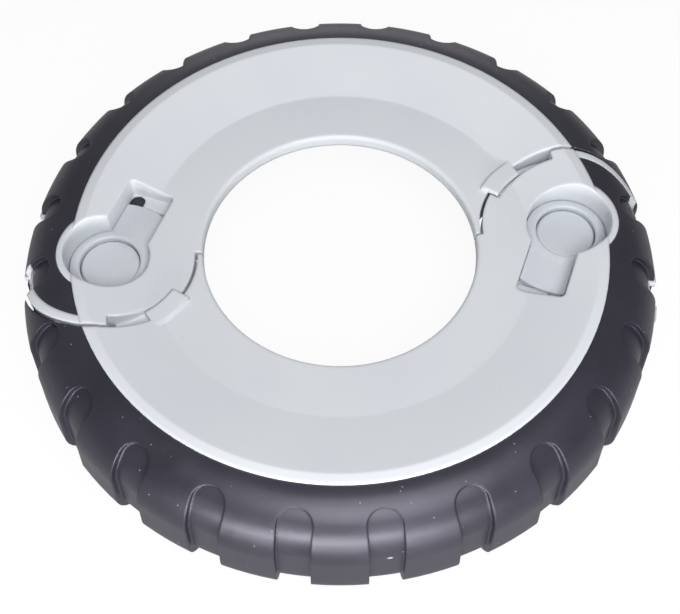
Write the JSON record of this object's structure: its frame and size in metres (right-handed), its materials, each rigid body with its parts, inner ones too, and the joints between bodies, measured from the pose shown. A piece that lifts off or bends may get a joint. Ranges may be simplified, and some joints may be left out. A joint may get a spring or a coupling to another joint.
{
  "type": "overmolded split wheel",
  "caption": "Split ring wheel with a ribbed grey plastic core, rubber moulded over its notched rim, and a hinge disc with a push button at each joint.",
  "frame": {"origin": "on the wheel's axis, in the plane of its lower side", "axes": "+Z along the wheel's axis, out of the face with the buttons; +X to the right-hand button, 4.8 degrees short of it"},
  "size_m": [0.254, 0.254, 0.052],
  "materials": {
    "grey_plastic": "satin moulded",
    "tyre_rubber": "satin moulded",
    "insert_plastic": "satin moulded",
    "steel": "plated"
  },
  "bodies": {
    "upper_half": {"upper_shell": "grey_plastic", "upper_tyre": "tyre_rubber", "left_latch_plate": "insert_plastic", "left_plate_screws": "steel", "left_spring": "steel"},
    "lower_half": {"lower_shell": "grey_plastic", "lower_tyre": "tyre_rubber", "right_latch_plate": "insert_plastic", "right_plate_screws": "steel", "right_spring": "steel"},
    "left_push": {"left_button": "insert_plastic", "left_clamp_foot": "grey_plastic", "left_foot_screw": "steel"},
    "right_push": {"right_button": "insert_plastic", "right_clamp_foot": "grey_plastic", "right_foot_screw": "steel"}
  },
  "joints": [
    {"name": "halves_swing", "type": "hinge", "parent": "upper_half", "child": "lower_half", "pos_m": [-0.09048, -0.0076, 0.0266], "axis": [0, 0, 1], "range_deg": [-25, 0]},
    {"name": "left_press", "type": "slide", "parent": "upper_half", "child": "left_push", "axis": [0, 0, -1], "range_m": [0, 0.0035], "stiffness_N_per_m": 400, "springref_m": -0.004, "deforming": ["left_spring"]},
    {"name": "right_press", "type": "slide", "parent": "lower_half", "child": "right_push", "axis": [0, 0, -1], "range_m": [0, 0.0035], "stiffness_N_per_m": 400, "springref_m": -0.004, "deforming": ["right_spring"]}
  ]
}
